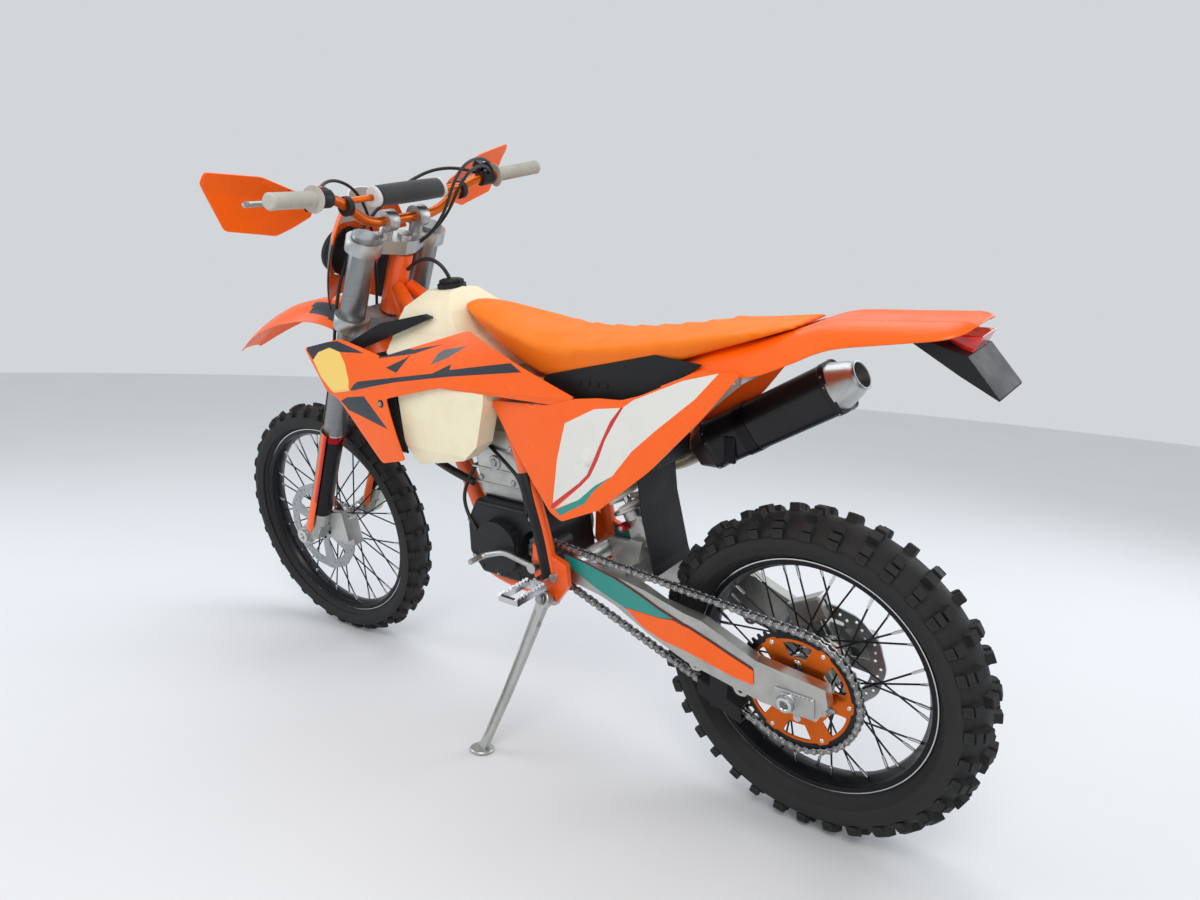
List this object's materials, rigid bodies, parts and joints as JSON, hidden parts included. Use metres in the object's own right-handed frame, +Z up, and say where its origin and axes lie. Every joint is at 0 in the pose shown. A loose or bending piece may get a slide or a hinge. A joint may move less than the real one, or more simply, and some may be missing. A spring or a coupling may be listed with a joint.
{
  "type": "enduro dirt bike",
  "caption": "Enduro dirt bike leaning on its side stand, with knobbed tyres, spoked wheels, chain drive, long flat seat, hand guards and moulded plastics.",
  "frame": {"origin": "on the floor below the middle of the whole bike's bounding box", "axes": "+X forward along the wheelbase, +Y to the rider's left, the side it leans to, +Z up"},
  "size_m": [2.1618, 0.8925, 1.4045],
  "materials": {
    "tyre": "moulded rubber with deep knobs",
    "black_rim": "black anodised",
    "hub_alloy": "machined, with dark steel spokes",
    "disc_steel": "ground",
    "anodised_orange": "orange anodised",
    "bright_steel": "bright",
    "chain_steel": "rolled steel links",
    "frame_orange": "orange powder coat",
    "cast_alloy": "cast and forged, satin",
    "case_black": "black coated casting",
    "silencer_black": "black with a brushed end cone",
    "tank_ivory": "translucent ivory plastic",
    "plastic_black": "black moulded plastic",
    "plastic_orange": "orange moulded plastic",
    "seat_cover": "orange ribbed seat cover",
    "radiator_alloy": "finned core",
    "fork_grey": "hard anodised grey",
    "pad_cover": "black padded cover",
    "grip_rubber": "pale grey rubber",
    "lamp_clear": "clear lens",
    "lamp_red": "red lens",
    "cable_black": "black cable covers"
  },
  "bodies": {
    "chassis": {"rear_axle": "bright_steel", "main_frame": "frame_orange", "chain": "chain_steel", "subframe": "cast_alloy", "crankcase": "case_black", "cylinder": "cast_alloy", "exhaust_header": "bright_steel", "silencer": "silencer_black", "fuel_tank": "tank_ivory", "tank_cap": "plastic_black", "rear_fender": "plastic_orange", "seat": "seat_cover", "tank_shrouds": "plastic_orange", "side_panels": "plastic_orange", "shroud_wings": "plastic_black", "radiators": "radiator_alloy", "airbox": "plastic_black", "plate_holder": "plastic_black", "tail_lamp": "lamp_red", "swingarm": "cast_alloy", "shock": "bright_steel", "footpegs": "bright_steel", "foot_controls": "bright_steel", "chain_guide": "plastic_black", "frame_guards": "plastic_black", "rear_caliper": "cast_alloy", "vent_hose": "cable_black", "stand_bracket": "bright_steel"},
    "steering": {"triple_clamps": "cast_alloy", "fork_outer_tubes": "fork_grey", "fork_sliders": "cast_alloy", "fork_guards": "plastic_orange", "handlebar": "anodised_orange", "bar_pad": "pad_cover", "grips": "grip_rubber", "levers": "cast_alloy", "bar_controls": "plastic_black", "hand_guards": "plastic_orange", "front_fender": "plastic_orange", "headlight_mask": "plastic_orange", "headlamp": "lamp_clear", "front_caliper": "cast_alloy", "front_axle": "bright_steel", "control_cables": "cable_black"},
    "front_wheel": {"front_tyre": "tyre", "front_rim": "black_rim", "front_hub": "hub_alloy", "front_disc": "disc_steel"},
    "rear_wheel": {"rear_tyre": "tyre", "rear_rim": "black_rim", "rear_hub": "hub_alloy", "rear_disc": "disc_steel", "rear_sprocket": "anodised_orange"},
    "side_stand": {"side_stand": "cast_alloy"}
  },
  "joints": [
    {"name": "steering_turn", "type": "hinge", "parent": "chassis", "child": "steering", "pos_m": [0.33871, -0.06118, 1.02189], "axis": [-0.4399, 0.1777, 0.8803], "range_deg": [-46.26, 37.74]},
    {"name": "front_wheel_spin", "type": "hinge", "parent": "steering", "child": "front_wheel", "pos_m": [0.73541, -0.19494, 0.34005], "axis": [-0.0667, 0.9711, -0.2293], "continuous": true},
    {"name": "rear_wheel_spin", "type": "hinge", "parent": "chassis", "child": "rear_wheel", "pos_m": [-0.749, -0.201, 0.32907], "axis": [0, 0.9802, -0.1978], "continuous": true},
    {"name": "side_stand_fold", "type": "hinge", "parent": "chassis", "child": "side_stand", "pos_m": [-0.183, -0.05366, 0.36156], "axis": [0.0915, 0.9749, 0.2031], "range_deg": [0, 103]}
  ]
}
